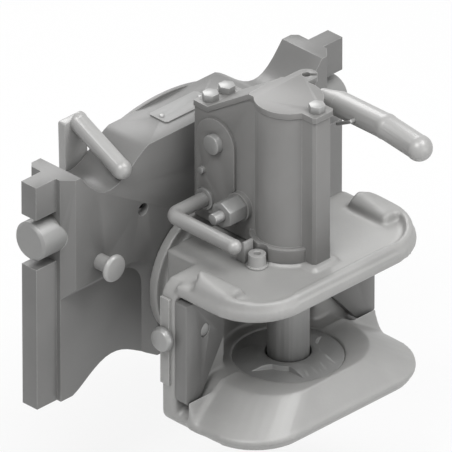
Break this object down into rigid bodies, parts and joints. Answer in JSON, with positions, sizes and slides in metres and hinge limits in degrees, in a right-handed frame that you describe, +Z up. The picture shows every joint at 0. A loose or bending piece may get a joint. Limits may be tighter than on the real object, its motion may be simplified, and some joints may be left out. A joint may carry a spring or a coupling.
{
  "type": "automatic pin coupling",
  "caption": "Automatic pin coupling with a swivelling jaw, a lever-lifted coupling pin and a height-adjustable carrier plate locked by side pins.",
  "frame": {"origin": "on the coupling pin's axis, halfway up the mouth; the swivel axis passes through it", "axes": "+Z up along the coupling pin, +X to the machine's right seen from behind it, the mouth opens towards -Y"},
  "size_m": [0.312, 0.2347, 0.2475],
  "materials": {
    "carrier_paint": "satin",
    "head_paint": "satin",
    "steel": "brushed",
    "lever_paint": "satin",
    "bronze": "satin",
    "label": "brushed"
  },
  "bodies": {
    "carrier": {"carrier_plate": "carrier_paint", "type_plate": "label", "type_plate_rivets": "steel", "stop_knob": "steel", "rear_cover": "carrier_paint", "rear_cover_screws": "steel"},
    "lock_lever_body": {"lock_cam": "lever_paint", "lock_lever": "lever_paint", "lock_grip": "lever_paint"},
    "left_lock": {"left_lock_pin": "steel"},
    "right_lock": {"right_lock_pin": "steel"},
    "head": {"jaw": "head_paint", "seat_ring": "steel", "lower_bush": "steel", "upper_bush": "steel", "left_cheek": "head_paint", "right_cheek": "head_paint", "cheek_rivets": "steel", "side_strips": "head_paint", "side_buttons": "steel", "retainer_ring": "head_paint", "retainer_screws": "steel", "tower": "head_paint", "tower_cover": "head_paint", "cover_bolts": "steel", "shaft_bushes": "bronze", "side_cover": "head_paint", "spring_peg": "steel", "stud": "steel", "stud_nut": "steel", "foot_screw": "steel", "sensor_clip": "head_paint"},
    "trip_flap_body": {"trip_flap": "head_paint", "trip_flap_pin": "steel"},
    "pin": {"coupling_pin": "steel"},
    "lift_lever": {"lever_shaft": "steel", "crank": "lever_paint", "crank_roller": "steel", "hand_lever": "lever_paint", "hand_grip": "lever_paint", "pull_wire": "steel", "torsion_spring": "steel"},
    "side_lever_body": {"side_lever": "lever_paint", "side_lever_collar": "lever_paint"}
  },
  "joints": [
    {"name": "head_swivel", "type": "hinge", "parent": "carrier", "child": "head", "pos_m": [0, 0.1, 0], "axis": [0, 1, 0], "range_deg": [-45, 45]},
    {"name": "lift_lever_turn", "type": "hinge", "parent": "head", "child": "lift_lever", "pos_m": [0, 0.0555, 0.1225], "axis": [-1, 0, 0], "range_deg": [0, 66], "stiffness_Nm_per_rad": 3, "springref_deg": -28.65},
    {"name": "pin_lift", "type": "slide", "parent": "head", "child": "pin", "axis": [0, 0, 1], "range_m": [0, 0.064]},
    {"name": "trip_flap_turn", "type": "hinge", "parent": "head", "child": "trip_flap_body", "pos_m": [0, 0.054, 0.02], "axis": [1, 0, 0], "range_deg": [0, 20], "stiffness_Nm_per_rad": 0.5, "springref_deg": -17.19},
    {"name": "side_lever_turn", "type": "hinge", "parent": "head", "child": "side_lever_body", "pos_m": [-0.035, 0.066, 0.0725], "axis": [-1, 0, 0], "range_deg": [0, 40]},
    {"name": "lock_lever_turn", "type": "hinge", "parent": "carrier", "child": "lock_lever_body", "pos_m": [0, 0.13, 0.075], "axis": [0, 1, 0], "range_deg": [0, 46]},
    {"name": "left_lock_slide", "type": "slide", "parent": "carrier", "child": "left_lock", "axis": [1, 0, 0], "range_m": [0, 0.0205]},
    {"name": "right_lock_slide", "type": "slide", "parent": "carrier", "child": "right_lock", "axis": [1, 0, 0], "range_m": [-0.0205, 0]}
  ],
  "couplings": [
    {"joint": "pin_lift", "follows": "lift_lever_turn", "m_per_rad": 0.0554},
    {"joint": "left_lock_slide", "follows": "lock_lever_turn", "m_per_rad": 0.0253},
    {"joint": "right_lock_slide", "follows": "lock_lever_turn", "m_per_rad": -0.0253}
  ]
}
